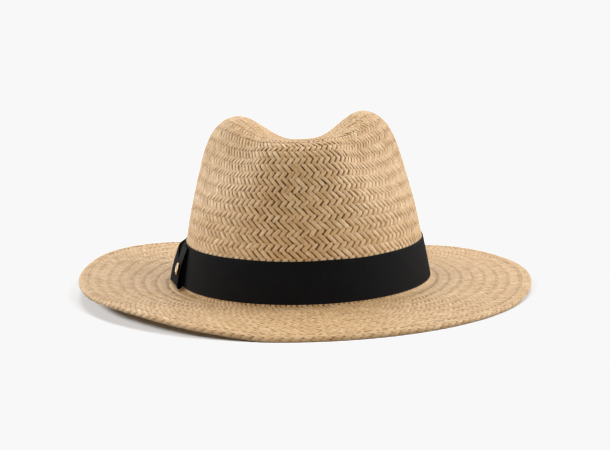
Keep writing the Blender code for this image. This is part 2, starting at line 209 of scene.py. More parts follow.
def crease_depth(y, height):
    """Depth of the lengthwise crease, before it fades to the sides."""
    front, middle, back = CREASE_DEPTHS
    t = np.clip(y / FOOT_RADIUS, -1.0, 1.0)
    along = np.where(t > 0, middle + (back - middle) * t, middle + (front - middle) * t * t)
    return along * smooth(height, CREASE_START, CROWN_HEIGHT)


def pinch_depth(angle, radius, height):
    turn = (angle + pi) % (2 * pi) - pi
    middle, front_reach, back_reach, depth = [
        np.where(turn > 0, left, right) for left, right in zip(LEFT_PINCH, RIGHT_PINCH)
    ]
    away = abs(turn) - middle - PINCH_SLANT * (1 - height / CROWN_HEIGHT)
    along = np.exp(-(abs(away / np.where(away < 0, front_reach, back_reach)) ** 2.7))
    return depth * along * smooth(height, PINCH_START, PINCH_FULL) * smooth(radius, 0, OVAL_REACH)


def blocked(angle, radius, height):
    """The finished places of points of the round block; height is above the table."""
    angle, radius, height = np.broadcast_arrays(angle, radius, height)
    oval = OVAL * smooth(radius, 0, OVAL_REACH)
    above = height - BRIM_LEVEL
    pinch = pinch_depth(angle, radius, above)
    top = smooth(above, SLOPE_START, CROWN_HEIGHT)
    x = (radius - oval - pinch) * np.sin(angle) - SWAY * top
    y = -(radius + oval - pinch) * np.cos(angle)
    crease = crease_depth(y, above) * np.exp(-(abs(x / np.where(x > 0, *CREASE_WIDTHS)) ** 2.76))
    back = 0.5 + 0.5 * y / FOOT_RADIUS
    slope = (BACK_DROP * back - LEAN * x / FOOT_RADIUS) * top
    on_crown = (above > 0) & (radius < FOOT_RADIUS)
    z = height + np.where(on_crown, -crease - slope, brim_rise(radius, angle))
    return np.stack([x, y, z], axis=-1)


def by_wall(angle, out, height):
    """The finished places of points a distance out from the straw wall."""
    return blocked(angle, crown_radius(height - BRIM_LEVEL) + out, height)


def evenly(angle):
    """Block angle of a share of the way round, so that straws stay evenly spaced on the oval."""
    return angle + EVENING * np.sin(2 * angle)


def block_line():
    """The block's outer line from the tip of the crown to the end of the folded hem, finely and
    evenly cut: distance along it, radius, height, and the outward normal's two parts."""
    t = np.linspace(0, 1, 1500)
    above = FILLET + (CROWN_HEIGHT - FILLET) * (1 - t**3.4)
    above[0] = CROWN_HEIGHT
    radius, height = [crown_radius(above)], [BRIM_LEVEL + above]
    foot = crown_radius(FILLET)
    bend = np.linspace(0, pi / 2, 30)[1:]
    radius.append(foot + (FOOT_RADIUS + FILLET - foot) * (1 - np.cos(bend)))
    height.append(BRIM_LEVEL + FILLET * (1 - np.sin(bend)))
    centre = BRIM_RADIUS - BEAD_RADIUS
    radius.append(np.linspace(FOOT_RADIUS + FILLET, centre, 500)[1:])
    height.append(np.full(499, BRIM_LEVEL))
    bend = np.linspace(pi / 2, -pi / 2, 60)[1:]
    radius.append(centre + BEAD_RADIUS * np.cos(bend))
    height.append(BRIM_LEVEL - BEAD_RADIUS * (1 - np.sin(bend)))
    flange = BRIM_LEVEL - 2 * STRAW - GAP
    radius.append(centre - np.array([1.2 * MM, 3.4 * MM, HEM_WIDTH - BEAD_RADIUS]))
    height.append(np.array([BRIM_LEVEL - 2 * BEAD_RADIUS, flange, flange]))
    radius, height = np.concatenate(radius), np.concatenate(height)
    along = length_along(radius, height)
    even = np.arange(0, along[-1], 0.1 * MM)
    radius, height = np.interp(even, along, radius), np.interp(even, along, height)
    across, down = np.gradient(radius), np.gradient(height)
    soft = np.ones(7) / 7
    normal = [np.convolve(np.pad(part, 3, "edge"), soft, "valid") for part in (-down, across)]
    length = np.hypot(*normal)
    return even, radius, height, normal[0] / length, normal[1] / length


LINE, LINE_RADIUS, LINE_HEIGHT, LINE_OUT, LINE_UP = block_line()


def radius_at(distance):
    return np.interp(distance, LINE, LINE_RADIUS)


FOOT_DISTANCE = LINE[np.argmax(LINE_HEIGHT < BRIM_LEVEL + FILLET)]
WALL_TOP = FOOT_DISTANCE - STRAIGHT_WALL
SPREAD_TURNS = np.linspace(0, 2 * pi, 361)
SPREAD_DISTANCES = np.linspace(0, FOOT_DISTANCE, 400)


def crown_spread():
    """The block distance for evenly spaced distances over the finished crown, for each turn.
    Up the side wall rows of straw keep their spacing, whatever the crease and pinches do to the
    block; what is over or short is shared out over the top of the crown."""
    radius = np.interp(SPREAD_DISTANCES, LINE, LINE_RADIUS)
    height = np.interp(SPREAD_DISTANCES, LINE, LINE_HEIGHT)
    places = blocked(evenly(SPREAD_TURNS)[:, None], radius[None], height[None])
    steps = np.linalg.norm(np.diff(places, axis=1), axis=2)
    lengths = np.concatenate([np.zeros((len(places), 1)), np.cumsum(steps, axis=1)], axis=1)
    total = lengths[:, -1:]
    over_top = np.clip((WALL_TOP - SPREAD_DISTANCES) / WALL_TOP, 0, 1) ** 1.5
    wanted = total - (FOOT_DISTANCE - SPREAD_DISTANCES) - (total - FOOT_DISTANCE) * over_top
    return np.stack([np.interp(w, length, SPREAD_DISTANCES) for w, length in zip(wanted, lengths)])


SPREAD = crown_spread()


def block_distance(turn, distance):
    """Distance along the block's line of a distance over the finished crown."""
    across = (turn / (2 * pi) % 1) * (len(SPREAD_TURNS) - 1)
    down = np.clip(distance / FOOT_DISTANCE, 0, 1) * (len(SPREAD_DISTANCES) - 1)
    i = np.minimum(across.astype(int), len(SPREAD_TURNS) - 2)
    j = np.minimum(down.astype(int), len(SPREAD_DISTANCES) - 2)
    s, t = across - i, down - j
    upper = SPREAD[i, j] * (1 - t) + SPREAD[i, j + 1] * t
    lower = SPREAD[i + 1, j] * (1 - t) + SPREAD[i + 1, j + 1] * t
    return np.where(distance < FOOT_DISTANCE, upper * (1 - s) + lower * s, distance)


def on_block(turn, distance, out):
    """The finished places of points of the straw, out from its face, at a share of the way round
    and a distance over the finished hat from the tip of the crown."""
    distance = block_distance(*np.broadcast_arrays(turn, distance))
    radius = radius_at(distance) + np.interp(distance, LINE, LINE_OUT) * out
    height = np.interp(distance, LINE, LINE_HEIGHT) + np.interp(distance, LINE, LINE_UP) * out
    return blocked(evenly(turn), radius, height)


# ---------------------------------------------------------------- meshes


def piece(name, points, quads, look, slot, replaces, body=HAT_BODY, uv=None, marks=None, sharp=50):
    """Makes an object of points and four-sided faces, which rides on a body and stands for the CAD
    nodes it replaces.  marks are numbers stored at the points, for the look to read."""
    mesh = bpy.data.meshes.new(name)
    points = np.ascontiguousarray(points.reshape(-1, 3), np.float32)
    quads = np.asarray(quads).reshape(-1, 4).astype(np.int32)
    corners = points[quads].astype(np.float64)
    middle = corners.mean(axis=(0, 1))
    a, b, c, d = [corners[:, k] - middle for k in range(4)]
    if (a * (np.cross(b, c) + np.cross(c, d))).sum() < 0:
        quads = quads[:, ::-1]
    mesh.vertices.add(len(points))
    mesh.vertices.foreach_set("co", points.ravel())
    mesh.loops.add(quads.size)
    mesh.loops.foreach_set("vertex_index", np.ascontiguousarray(quads).ravel())
    mesh.polygons.add(len(quads))
    mesh.polygons.foreach_set("loop_start", np.arange(0, quads.size, 4, dtype=np.int32))
    mesh.update(calc_edges=True)
    if uv is not None:
        layer = mesh.uv_layers.new(name="UVMap")
        flat = np.ascontiguousarray(uv.reshape(-1, 2)[quads.ravel()], np.float32)
        layer.data.foreach_set("uv", flat.ravel())
    for mark, values in (marks or {}).items():
        layer = mesh.attributes.new(mark, "FLOAT", "POINT")
        layer.data.foreach_set("value", np.ascontiguousarray(values, np.float32).ravel())
    mesh.materials.append(look)
    mesh.shade_smooth()
    mesh.set_sharp_from_angle(angle=radians(sharp))
    made = bpy.data.objects.new(name, mesh)
    bpy.context.scene.collection.objects.link(made)
    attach(made, body)
    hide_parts(*replaces)
    return made


def tube_quads(count, stations, ring):
    """Faces of many tubes of the same number of stations and ring points, with closed ends."""
    index = np.arange(count * stations * ring).reshape(count, stations, ring)
    turned = np.roll(index, -1, axis=2)
    sides = np.stack([index[:, :-1], turned[:, :-1], turned[:, 1:], index[:, 1:]], axis=-1)
    first, last = index[:, 0], index[:, -1]
    caps = []
    for low in range(ring // 2 - 1):
        high = ring - 1 - low
        caps.append(last[:, [low, low + 1, high - 1, high]])
        caps.append(first[:, [high, high - 1, low + 1, low]])
    return np.concatenate([sides.reshape(-1, 4), np.concatenate(caps).reshape(-1, 4)])


SECTION_ACROSS = np.array([-1.0, -0.72, 0.0, 0.72, 1.0, 0.60, 0.0, -0.60])
SECTION_UP = np.array([-0.60, 0.42, 1.0, 0.42, -0.60, -1.0, -1.0, -1.0])


def straws(turn, distance, out, width, roll=0.0):
    """Flat straws that follow lines on the block.  All arrays are straws by stations, and roll is
    how much higher a straw's second edge lies than its middle.  Returns their points, their UVs,
    and how deep in the weave each point lies, from 0 to 1."""
    radius = np.maximum(radius_at(distance), 1 * MM)
    around = radius * np.gradient(turn, axis=1)
    down = np.gradient(distance, axis=1)
    length = np.hypot(around, down)
    side = SECTION_ACROSS * width[..., None] / 2
    turns = turn[..., None] - side * (down / length / radius)[..., None]
    places = distance[..., None] + side * (around / length)[..., None]
    outs = out[..., None] + SECTION_UP * STRAND / 2 + SECTION_ACROSS * np.expand_dims(roll, -1)
    points = on_block(turns, places, outs)
    along = np.cumsum(length, axis=1)[..., None] / MM
    uv = np.stack(np.broadcast_arrays(SECTION_ACROSS * 0.5 + 0.5, along), axis=-1)
    depth = np.clip(1 - abs(outs - MIDDLE) / (WAVE + STRAND / 2), 0, 1)
    return points, uv, depth


def cloth(name, along, across, place, look, slot, replaces, body=HAT_BODY):
    """A closed strip of cloth.  along and across are distances in metres, and place(a, c, face)
    gives the finished points of its back (face 0) and front (face 1)."""
    a, c = np.meshgrid(along, across, indexing="ij")
    points = np.concatenate([place(a, c, 1.0), place(a, c, 0.0)[:, ::-1]], axis=1)
    uv = np.stack([a, c], axis=-1) / MM
    uv = np.concatenate([uv, uv[:, ::-1]], axis=1)
    quads = tube_quads(1, len(along), 2 * len(across))
    return piece(name, points, quads, look, slot, replaces, body, uv=uv)


def threads(name, lines, look, slot, replaces, radius=THREAD):
    """Round threads along lines of points, given as lines by points by 3."""
    lines = np.asarray(lines)
    along = np.gradient(lines, axis=1)
    along /= np.linalg.norm(along, axis=2, keepdims=True)
    helper = np.array([0.13, 0.21, 0.97])
    side = np.cross(along, helper)
    side /= np.linalg.norm(side, axis=2, keepdims=True)
    up = np.cross(side, along)
    bend = np.arange(THREAD_SIDES) / THREAD_SIDES * 2 * pi
    points = (
        lines[:, :, None]
        + radius * np.cos(bend)[:, None] * side[:, :, None]
        + radius * np.sin(bend)[:, None] * up[:, :, None]
    )
    count, stations = lines.shape[:2]
    steps = np.linalg.norm(np.diff(lines, axis=1), axis=2)
    length = np.concatenate([np.zeros((count, 1)), np.cumsum(steps, axis=1)], axis=1) / MM
    uv = np.stack(np.broadcast_arrays(bend / (2 * pi), length[..., None]), axis=-1)
    quads = tube_quads(count, stations, THREAD_SIDES)
    piece(name, points, quads, look, slot, replaces, uv=uv, sharp=80)


# ---------------------------------------------------------------- materials

WHITE = (1.0, 1.0, 1.0)


def feed(tree, socket, value):
    """Gives a socket a number, a colour or the output of another node."""
    value = getattr(value, "output", value)
    if isinstance(value, bpy.types.NodeSocket):
        tree.links.new(value, socket)
    elif isinstance(value, tuple):
        socket.default_value = (*value, 1.0)
    else:
        socket.default_value = value


def added(tree, kind, inputs=None, **settings):
    """A new node with its settings, and with values for its sockets by name or number."""
    node = tree.nodes.new(f"ShaderNode{kind}")
    for name, value in settings.items():
        setattr(node, name, value)
    for key, value in (inputs or {}).items():
        feed(tree, node.inputs[key], value)
    return node


class Value:
    """A number that nodes work out, so that a look can be written as sums and products."""

    def __init__(self, tree, output):
        self.tree = tree
        self.output = output

    def worked(self, operation, other=0.0):
        node = added(self.tree, "Math", {0: self, 1: other}, operation=operation)
        return Value(self.tree, node.outputs[0])

    def __add__(self, other):
        return self.worked("ADD", other)

    def __sub__(self, other):
        return self.worked("SUBTRACT", other)

    def __mul__(self, other):
        return self.worked("MULTIPLY", other)

    def __abs__(self):
        return self.worked("ABSOLUTE")

    def sine(self):
        return self.worked("SINE")


def new_look(name):
    """A new material, its node tree and its shader."""
    look = bpy.data.materials.new(name)
    look.use_nodes = True
    return look, look.node_tree, look.node_tree.nodes["Principled BSDF"]


def ramp(tree, value, stops):
    """A colour ramp with (position, colour) stops."""
    node = added(tree, "ValToRGB", {0: value})
    elements = node.color_ramp.elements
    for position, colour in stops[2:]:
        elements.new(position)
    for element, (position, colour) in zip(elements, stops):
        element.position = position
        element.color = (*colour, 1.0)
    return node.outputs[0]


def noise(tree, place, scale, detail=3.0, roughness=0.5):
    inputs = {"Vector": place, "Scale": scale, "Detail": detail, "Roughness": roughness}
    return Value(tree, added(tree, "TexNoise", inputs).outputs["Fac"])


def mixed(tree, kind, factor, a, b):
    """Mixes two colours."""
    inputs = {"Factor": factor, 6: a, 7: b}
    return added(tree, "Mix", inputs, data_type="RGBA", blend_type=kind).outputs[2]


def combined(tree, *parts):
    """A place made of its coordinates."""
    return added(tree, "CombineXYZ", dict(enumerate(parts))).outputs[0]


def separated(tree, place):
    """The coordinates of a place."""
    return [Value(tree, output) for output in added(tree, "SeparateXYZ", {0: place}).outputs]


def uv_parts(tree):
    return separated(tree, added(tree, "UVMap", uv_map="UVMap").outputs[0])[:2]


def object_place(tree):
    return added(tree, "TexCoord").outputs["Object"]


def stored(tree, name):
    """A number that the mesh stores at each of its points."""
    return Value(tree, added(tree, "Attribute", attribute_name=name).outputs["Fac"])


def toned(colour, share):
    """A darker or lighter colour."""
    return tuple(min(share * part, 0.95) for part in colour)


def surface(tree, shader, colour, roughness, gloss=0.5, sheen=0.0):
    feed(tree, shader.inputs["Base Color"], colour)
    feed(tree, shader.inputs["Roughness"], roughness)
    feed(tree, shader.inputs["Specular IOR Level"], gloss)
    feed(tree, shader.inputs["Sheen Weight"], sheen)


def bumped(tree, shader, height, distance, strength):
    node = added(tree, "Bump", {"Distance": distance, "Strength": strength, "Height": height})
    tree.links.new(node.outputs[0], shader.inputs["Normal"])


def straw_look():
    """Folded paper straw: fibre streaks along it, painted shade at its edges and in the hollows of the
    weave, and each straw its own tone.
    """
    look, tree, shader = new_look("paper_straw")
    across, along = uv_parts(tree)
    shade = stored(tree, "tint")
    own = shade * 37.0
    streaks = noise(tree, combined(tree, across * 7.0, along * 0.16, own), 1.6, 4.0, 0.6)
    patches = noise(tree, combined(tree, across * 0.6, along * 0.22, own), 1.0, 2.0)
    clouds = noise(tree, object_place(tree), 28.0, 2.0)
    level = (shade * 0.34 + patches * 0.80 + clouds * 0.25) * 0.85
    browns = [
        (0.12, (0.30, 0.135, 0.038)),
        (0.36, (0.58, 0.346, 0.138)),
        (0.62, (0.70, 0.462, 0.222)),
        (0.90, (0.84, 0.63, 0.37)),
    ]
    colour = ramp(tree, level, browns)
    fibre = ramp(tree, streaks, [(0.30, (0.66, 0.54, 0.42)), (0.62, WHITE)])
    # painted shade: each straw is painted darker towards its edges, for the shade between neighbouring
    # straws
    rim = ramp(tree, abs(across - 0.5), [(0.36, WHITE), (0.5, (0.64, 0.45, 0.29))])
    # painted shade: the deeper a point lies in the weave, the darker it is painted
    hollow = ramp(tree, stored(tree, "depth"), [(0.58, WHITE), (0.97, (0.46, 0.34, 0.25))])
    for share, layer in ((0.65, fibre), (0.5, rim), (0.85, hollow)):
        colour = mixed(tree, "MULTIPLY", share, colour, layer)
    surface(tree, shader, colour, streaks * 0.26 + 0.30, gloss=0.55, sheen=0.10)
    shader.inputs["Sheen Roughness"].default_value = 0.45
    shader.inputs["Sheen Tint"].default_value = (1.0, 0.93, 0.82, 1.0)
    bumped(tree, shader, streaks, 0.16 * MM, 0.9)
    return look


def film_look():
    """Painted shade for the gaps between the straws: dark brown and grained, painted paler towards the sides
    of the hat, which are lit from the front.
    """
    look, tree, shader = new_look("gap_shade_film")
    place = object_place(tree)
    grain = noise(tree, place, 900.0)
    # painted shade in the gaps: darker at the front and back, paler at the sides
    front = ramp(tree, grain, [(0.3, (0.090, 0.036, 0.011)), (0.7, (0.160, 0.075, 0.027))])
    sides = ramp(tree, grain, [(0.3, (0.380, 0.240, 0.115)), (0.7, (0.500, 0.330, 0.170))])
    # 0 at the front and back, 1 at the sides, where the painted gap shade turns paler
    to_side = abs(separated(tree, place)[0]) * 10.0
    share = ramp(tree, to_side, [(0.26, (0.0, 0.0, 0.0)), (0.58, WHITE)])
    surface(tree, shader, mixed(tree, "MIX", share, front, sides), grain * 0.3 + 0.5, gloss=0.2)
    bumped(tree, shader, grain, 0.05 * MM, 0.5)
    return look


def ribbon_look(name, colour):
    """Grosgrain: black, with fine threads across the ribs, which are in the mesh."""
    look, tree, shader = new_look(name)
    along, across = uv_parts(tree)
    fine = noise(tree, combined(tree, along, across * 6.0), 2.2)
    cloud = noise(tree, combined(tree, along, across), 0.09, 2.0)
    tone = fine * 0.6 + cloud * 0.5
    colour = ramp(tree, tone, [(0.3, toned(colour, 0.6)), (0.8, toned(colour, 1.4))])
    surface(tree, shader, colour, fine * 0.25 + 0.62, gloss=0.08, sheen=0.006)
    threads_along = (across * (2 * pi / 0.32)).sine()
    bumped(tree, shader, threads_along * 0.25 + fine, 0.06 * MM, 0.7)
    return look


def twill_look(name, colour, pitch=0.9):
    """Cotton cloth with a fine diagonal."""
    look, tree, shader = new_look(name)
    along, across = uv_parts(tree)
    diagonal = ((along + across) * (2 * pi / pitch)).sine()
    counter = ((along - across) * (4 * pi / pitch)).sine()
    fine = noise(tree, combined(tree, along, across), 3.0)
    cloud = noise(tree, combined(tree, along, across), 0.12, 2.0)
    tone = diagonal * 0.12 + fine * 0.5 + cloud * 0.4
    colour = ramp(tree, tone, [(0.25, toned(colour, 0.72)), (0.75, toned(colour, 1.18))])
    surface(tree, shader, colour, fine * 0.2 + 0.72, gloss=0.25, sheen=0.1)
    bumped(tree, shader, diagonal + counter * 0.5 + fine, 0.05 * MM, 0.7)
    return look


def thread_look(name, colour, gloss=0.4):
    """Two-ply thread: a twist along it and a few darker fibres."""
    look, tree, shader = new_look(name)
    around, along = uv_parts(tree)
    ply = ((around * 2.0 + along * 1.3) * (2 * pi)).sine()
    fine = noise(tree, combined(tree, around, along), 6.0, 2.0)
    colour = ramp(tree, ply * 0.2 + fine, [(0.25, toned(colour, 0.6)), (0.75, toned(colour, 1.25))])
    surface(tree, shader, colour, fine * 0.2 + 0.6, gloss, sheen=0.15 * gloss)
    bumped(tree, shader, ply, 0.05 * MM, 0.8)
    return look


def metal_look(name, colour, scale):
    """Brushed metal with a few duller patches."""
    look, tree, shader = new_look(name)
    brush = noise(tree, object_place(tree), scale, 4.0, 0.65)
    dull = noise(tree, object_place(tree), 0.08 * scale, 2.0)
    colour = ramp(tree, dull, [(0.35, toned(colour, 0.86)), (0.65, colour)])
    surface(tree, shader, colour, brush * 0.22 + 0.30)
    shader.inputs["Metallic"].default_value = 1.0
    bumped(tree, shader, brush, 0.01 * MM, 0.5)
    return look


def floor_look():
    look, tree, shader = new_look("studio_floor")
    clouds = noise(tree, object_place(tree), 3.0, 2.0)
    tone = ramp(tree, clouds, [(0.3, (0.80, 0.80, 0.80)), (0.7, (0.82, 0.82, 0.82))])
    surface(tree, shader, tone, 0.9, gloss=0.0)
    return look


# ---------------------------------------------------------------- camera, floor and lights

CAMERA_TURN = radians(1.5)
CAMERA_RISE = radians(11.0)
CAMERA_ROLL = radians(-1.37)
CAMERA_DISTANCE = 1.4
CAMERA_LENS = 119.2
AIM = Vector((0.0008, 0.0, 0.0449))
PAPER_WHITE = 0.9387  # how bright the clear background comes out
FLOOR_HALF = 12.0  # half the floor's side
AMBIENT = 0.15  # strength of the light from all round


def towards(turn, rise):
    """A direction at an angle round from the front and a height above the table."""
    return Vector((sin(turn) * cos(rise), -cos(turn) * cos(rise), sin(rise)))


def studio_camera():
    place = towards(CAMERA_TURN, CAMERA_RISE) * CAMERA_DISTANCE
    back = (place - AIM).normalized()
    right = Vector((0, 0, 1)).cross(back).normalized()
    up = back.cross(right)
    tilted_right = cos(CAMERA_ROLL) * right + sin(CAMERA_ROLL) * up
    tilted_up = cos(CAMERA_ROLL) * up - sin(CAMERA_ROLL) * right
    data = bpy.data.cameras.new("camera")
    data.sensor_width = 36.0
    data.lens = CAMERA_LENS
    camera = bpy.data.objects.new("camera", data)
    bpy.context.scene.collection.objects.link(camera)
    turn = Matrix((tilted_right, tilted_up, back)).transposed().to_4x4()
    camera.matrix_world = Matrix.Translation(place) @ turn
    bpy.context.scene.camera = camera


def studio_floor():
    sides = ((-1, -1), (1, -1), (1, 1), (-1, 1))
    mesh = bpy.data.meshes.new("floor")
    mesh.from_pydata([(x * FLOOR_HALF, y * FLOOR_HALF, 0) for x, y in sides], [], [(0, 1, 2, 3)])
    mesh.materials.append(floor_look())
    floor = bpy.data.objects.new("floor", mesh)
    bpy.context.scene.collection.objects.link(floor)
    floor.visible_diffuse = False
    return floor


def softbox(name, turn, rise, spread, strength, lit):
    """A large distant soft light at a turn and a rise in degrees, which lights one collection."""
    data = bpy.data.lights.new(name, "SUN")
    data.energy = strength
    data.angle = radians(spread)
    light = bpy.data.objects.new(name, data)
    bpy.context.scene.collection.objects.link(light)
    aim = towards(radians(turn), radians(rise))
    light.matrix_world = aim.to_track_quat("Z", "Y").to_matrix().to_4x4()
    light.light_linking.receiver_collection = lit


def studio_lights(floor):
    """Soft lights all round, with one set for the hat and another for the table, so that the table
    stays a clear white round a soft shadow."""
    hat = bpy.data.collections.new("lit_hat")
    for shown in bpy.context.scene.collection.all_objects:
        if shown.type == "MESH" and shown != floor:
            hat.objects.link(shown)
    table = bpy.data.collections.new("lit_table")
    table.objects.link(floor)
    softbox("softbox_table", 0, 84, 25, 0.9, table)
    for name, turn, strength in (("front", 35, 1.5), ("side", 75, 2.3)):
        softbox(f"softbox_table_{name}_left", -turn, 33, 14, strength, table)
        softbox(f"softbox_table_{name}_right", turn, 33, 14, strength, table)
    softbox("softbox_overhead", 0, 84, 60, 0.50, hat)
    softbox("softbox_back", 180, 50, 60, 1.35, hat)
    # Turn, rise, and strength on the left and on the right
    for name, turn, rise, left, right in (
        ("fill", 50, 8, 1.16, 1.42),
        ("side", 105, 25, 0.98, 1.52),
        ("high", 105, 50, 0.26, 0.18),
        ("rear", 130, 25, 0.80, 0.60),
    ):
        softbox(f"softbox_{name}_left", -turn, rise, 35, left, hat)
        softbox(f"softbox_{name}_right", turn, rise, 35, right, hat)
    world = bpy.data.worlds.new("studio")
    bpy.context.scene.world = world
    world.use_nodes = True
    tree = world.node_tree
    seen = Value(tree, added(tree, "LightPath").outputs["Is Camera Ray"])
    background = tree.nodes["Background"]
    feed(tree, background.inputs["Color"], WHITE)
    feed(tree, background.inputs["Strength"], seen + AMBIENT)


def white_background():
    """Plain tones, with the brightest drawn down to the white of the paper."""
    view = bpy.context.scene.view_settings
    view.view_transform = "Standard"
    view.look = "None"
    view.use_curve_mapping = True
    view.curve_mapping.extend = "HORIZONTAL"
    curve = view.curve_mapping.curves[3]
    curve.points.new(0.9, 0.9)
    curve.points[-1].location = (1.0, PAPER_WHITE)
    for point in curve.points:
        point.handle_type = "VECTOR"
    view.curve_mapping.update()


# ---------------------------------------------------------------- straw


def crown_rows():
    """Distances over the crown of the rows where straws cross, and the first row and the number of
    straws of each zone."""
    outward = slice(np.argmax(LINE_RADIUS > 2 * TIP_RADIUS))
    start = np.interp(TIP_RADIUS, LINE_RADIUS[outward], LINE[outward])
    end = LINE[np.argmax(LINE_HEIGHT < CROWN_END)]
    straw_count = TIP_STRAWS
    rows = [start]
    zones = [(0, straw_count)]
    while rows[-1] < end:
        radius = radius_at(rows[-1])
        doublings = sum(radius > limit for limit in DOUBLINGS)
        if doublings >= len(zones) and (len(rows) - 1) % TWILL == 0:
            straw_count *= 2
            zones.append((len(rows) - 1, straw_count))
        rows.append(rows[-1] + min(ROW_STEP, ROW_SHAPE * pi * radius / straw_count))
    return np.array(rows), zones


def over_under(row):
    """Near 1 where a straw turning towards +X lies on top, near -1 where it lies below."""
    return np.tanh(2.0 * (np.cos(2 * pi * (row - 0.5) / TWILL) + LONG_FLOATS))


def wander(count, row, size):
    """A slow random drift along each straw."""
    knots = rng.normal(0, size, (count, int(row[-1] - row[0]) + 3))
    return np.stack([np.interp(row - row[0], np.arange(knots.shape[1]), line) for line in knots])


def lay(family, count, row, place, first=0, cover=COVER, wave=WAVE):
    """One family of straws over some rows: family 1 turns towards +X going down, -1 towards -X.
    The depth mark, which the straw look paints as shade in the hollows, is kept strong at the front
    and back, where the weave is more open and the light grazes it, and weakened at the sides, which
    are lit from the front."""
    turn = 2 * pi / count * (np.arange(count)[:, None] + family * (row - first)[None] / 2)
    distance = np.broadcast_to(place(row), turn.shape)
    radius = radius_at(distance)
    half = pi * radius / count
    step = np.gradient(distance, axis=1) / np.gradient(row)[None]
    room = 2 * half * step / np.hypot(half, step)
    cover = cover + (SIDE_COVER - cover) * np.sin(turn) ** 2
    share = cover * (1 + rng.normal(0, WIDTH_SPREAD, (count, 1)) + wander(count, row, WIDTH_DRIFT))
    turn = turn + wander(count, row, ASIDE_DRIFT) * room / radius
    out = MIDDLE + family * wave * over_under(row)[None] + wander(count, row, RISE_DRIFT)
    out = out + rng.normal(0, RISE_SPREAD, (count, 1))
    roll = wander(count, row, ROLL_DRIFT)
    points, uv, depth = straws(turn, distance, out, room * np.clip(share, *WIDTH_LIMITS), roll)
    # painted shade: the hollows' painted shade is kept strong at the front and back and weakened at the
    # sides, as the light falls
    depth = depth * (0.70 + 0.27 * np.cos(turn[..., None]) ** 2)
    tint = np.clip(rng.normal(0.5, TINT_SPREAD, (count, 1, 1)), 0, 1)
    return points, uv, depth, np.broadcast_to(tint, depth.shape)


def woven_piece(name, layers):
    """Joins layers of straws into one piece that stands for part of the straw body."""
    quads = []
    base = 0
    for layer in layers:
        shape = layer[0].shape[:3]
        quads.append(tube_quads(*shape) + base)
        base += np.prod(shape)
    quads = np.concatenate(quads)
    points, uv, depth, tint = [np.concatenate([part.ravel() for part in parts]) for parts in zip(*layers)]
    marks = {"tint": tint, "depth": depth}
    piece(name, points, quads, STRAW_LOOK, "woven_straw", ("straw_body",), uv=uv, marks=marks, sharp=60)


def halves(layer):
    """Splits a layer of straws in two, which keeps each piece light."""
    middle = len(layer[0]) // 2
    return [[part[:middle] for part in layer], [part[middle:] for part in layer]]


def crown_weave():
    rows, zones = crown_rows()
    ends = [first + 0.5 for first, count in zones[1:]] + [len(rows) - 1]

    def place(row):
        return np.interp(row, np.arange(len(rows)), rows)

    for family, side in FAMILIES:
        layers = []
        for (first, count), end in zip(zones, ends):
            row = np.arange(first, end + 0.01, 0.5)
            layers.append(lay(family, count, row, place, first))
        for number, part in enumerate(halves(layers[-1]), 1):
            woven_piece(f"crown_side_straws_{side}{number}", [part])
        woven_piece(f"crown_tip_straws_{side}", layers[:-1])


def brim_weave():
    start = LINE[np.argmax(LINE_HEIGHT < CROWN_END)] - 3 * MM
    row = np.arange(0, int((LINE[-1] - start) / BRIM_ROW) + 0.01, 0.5)

    def place(row):
        return start + row * BRIM_ROW

    for family, side in FAMILIES:
        layer = lay(family, BRIM_STRAWS, row, place, cover=BRIM_COVER, wave=BRIM_WAVE)
        for number, part in enumerate(halves(layer), 1):
            woven_piece(f"brim_straws_{side}{number}", [part])


def gap_shade_film():
    """A thin film in the middle of the weave, which closes the gaps between the straws; its dark colour is
    painted shade seen through the gaps.
    """
    turn = np.linspace(0, 2 * pi, 200, endpoint=False)[:, None]
    distance = np.append(np.arange(0.1 * MM, LINE[-1], 1.6 * MM), LINE[-1] - 0.6 * MM)
    out = MIDDLE + np.repeat([0.03 * MM, -0.03 * MM], len(distance))
    points = on_block(turn, np.append(distance, distance[::-1]), out)
    index = np.arange(points.size // 3).reshape(points.shape[:2])
    turned = np.roll(index, -1, axis=0)
    quads = np.stack([index, turned, np.roll(turned, -1, axis=1), np.roll(index, -1, axis=1)], axis=-1)
    # the film's dark colour is painted shade for the gaps between the straws
    piece("gap_shade_film", points, quads, FILM_LOOK, "woven_straw", ("straw_body",))


def crown_button():
    """The little coil of straw that closes the tip of the crown."""
    steps = np.linspace(0, 1, 130)[None]
    turn = 2 * pi * 3.4 * steps
    distance = 0.9 * MM + (TIP_RADIUS + 0.3 * MM) * steps
    out = 0.05 * MM + 0.35 * MM * (1 - steps)
    points, uv, depth = straws(turn, distance, out, np.full(turn.shape, 2.1 * MM))
    woven_piece("crown_button", [(points, uv, depth, np.full(depth.shape, 0.5))])


# ---------------------------------------------------------------- ribbon

RIB_PITCH = 1.1 * MM
RIB_COLUMNS = 4
RIB_HEIGHT = 0.07 * MM
PLAIN_EDGE = 1.2 * MM  # the selvedges of the band have no ribs
TAIL_FULL = 0.86  # height of the tail and loop beyond the knot, as a share of the ribbon's width
LOOP_FULL = 0.84
KNOT_LOW = BAND_BOTTOM - 0.2 * MM
KNOT_HIGH = BAND_TOP - 0.8 * MM
KNOT_CUTS = 121
BOW_START = BOW_ANGLE + 0.4 * KNOT_SWEEP


def rib(distance):
    return RIB_HEIGHT * np.cos(2 * pi * distance / RIB_PITCH)


def columns(length):
    """Distances along a ribbon, four to each rib."""
    return np.linspace(0, length, int(length / RIB_PITCH) * RIB_COLUMNS + 1)


def ribbon_rows(width):
    """Distances across a ribbon, closer at the selvedges."""
    edge = np.array([0, 0.2, 0.7, 1.1, 1.6]) * MM
    inner = np.linspace(3 * MM, width - 3 * MM, 6)
    return np.concatenate([edge, inner, width - edge[::-1]])


